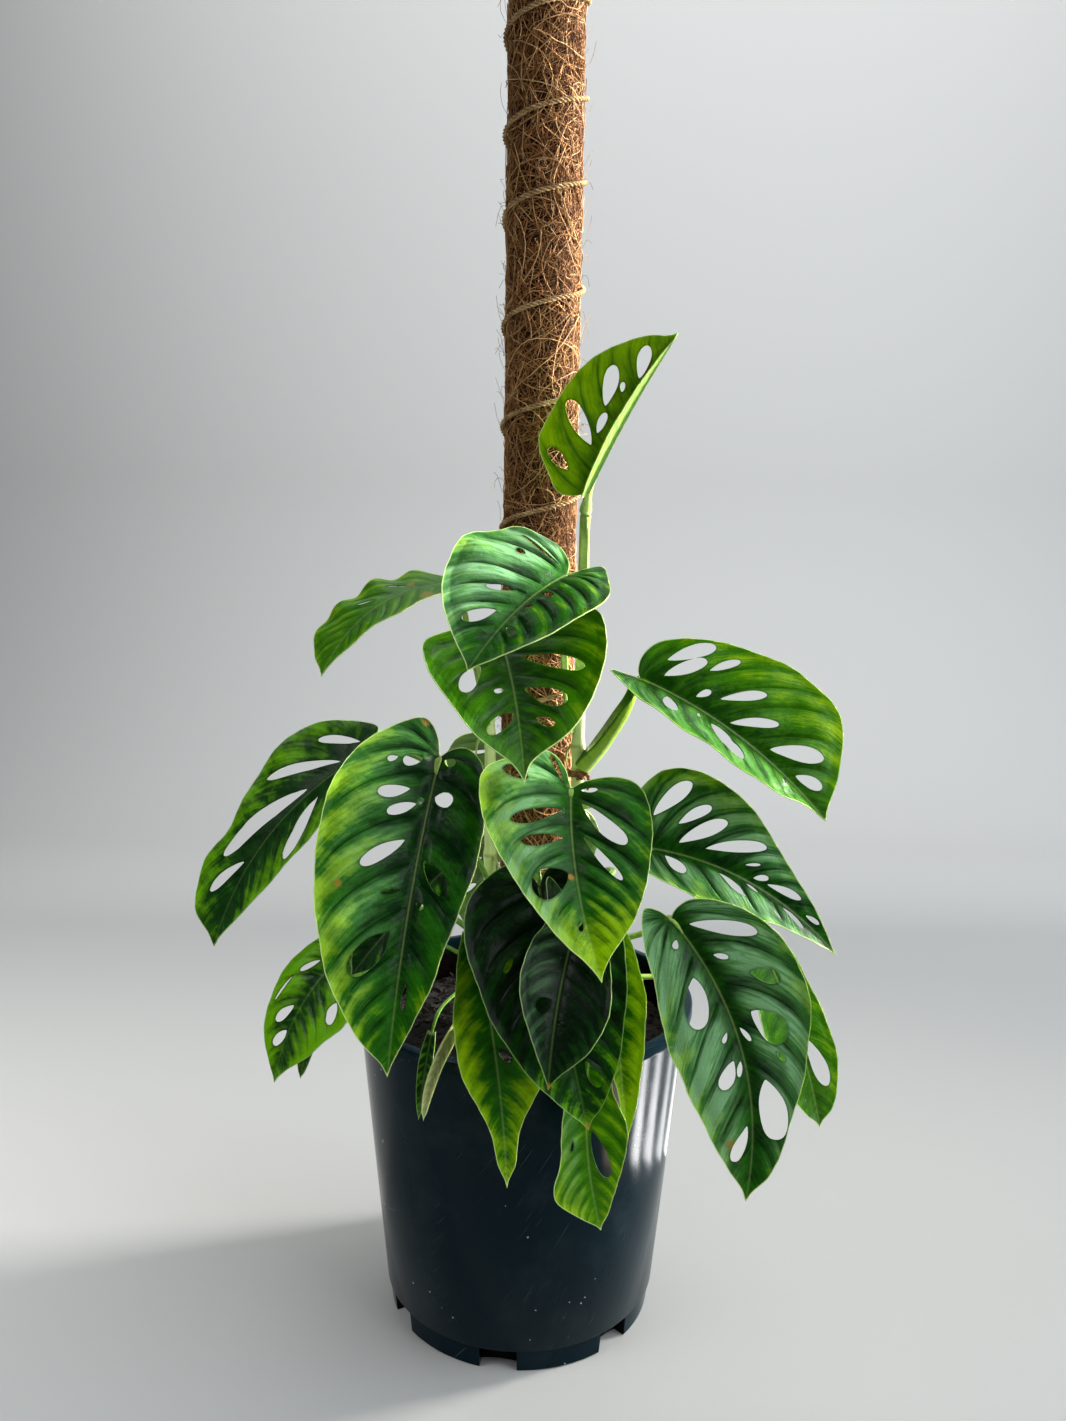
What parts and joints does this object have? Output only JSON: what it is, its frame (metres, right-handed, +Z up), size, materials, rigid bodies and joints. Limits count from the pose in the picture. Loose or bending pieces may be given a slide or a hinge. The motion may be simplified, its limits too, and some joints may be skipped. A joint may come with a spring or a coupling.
{
  "type": "potted swiss cheese vine",
  "caption": "Swiss cheese vine with holed, pointed oval leaves, climbing a twine-wound coir pole in a tapered black nursery pot.",
  "frame": {"origin": "middle of the pot's underside, on the surface it stands on", "axes": "+Z up along the pole, -Y towards the side that most leaves face, +X to the right seen from that side"},
  "size_m": [0.374, 0.2647, 0.76],
  "materials": {
    "pot_plastic": "moulded polypropylene, semi-gloss, blue-black",
    "potting_soil": "damp bark and peat mix, matt",
    "pole_wood": "plain round stake, uncoated",
    "coir_fibre": "matted coconut fibre, matt",
    "jute_twine": "twisted jute, matt",
    "vine_stem": "smooth living stem, satin",
    "leaf_lime": "young leaf blade, satin wax",
    "leaf_green": "leaf blade, satin wax",
    "leaf_dark": "old leaf blade, satin wax",
    "leaf_withered": "dried rolled leaf, matt"
  },
  "bodies": {
    "root": {"pot": "pot_plastic", "soil": "potting_soil", "pole_core": "pole_wood", "coir_sleeve": "coir_fibre", "twine": "jute_twine", "stem_tie": "jute_twine", "stem_right": "vine_stem", "stem_left": "vine_stem", "stem_front": "vine_stem", "stem_back": "vine_stem", "leaf_top": "leaf_lime", "leaf_upper": "leaf_green", "leaf_middle": "leaf_lime", "leaf_left_upper": "leaf_lime", "leaf_right_upper": "leaf_lime", "leaf_right_middle": "leaf_green", "leaf_right_lower": "leaf_green", "leaf_front": "leaf_green", "leaf_left_front": "leaf_green", "leaf_left_back": "leaf_dark", "leaf_left_low": "leaf_dark", "leaf_rim_small": "leaf_lime", "leaf_rim_drooping": "leaf_green", "leaf_front_low": "leaf_dark", "leaf_front_lowest": "leaf_dark", "leaf_right_narrow": "leaf_green", "leaf_right_behind": "leaf_lime", "leaf_left_tiny": "leaf_dark", "leaf_rim_dark": "leaf_dark", "leaf_rim_withered": "leaf_withered", "leaf_left_inner": "leaf_dark", "leaf_back_upper": "leaf_green", "leaf_back_lower": "leaf_green", "leaf_back_right": "leaf_lime"}
  },
  "joints": []
}
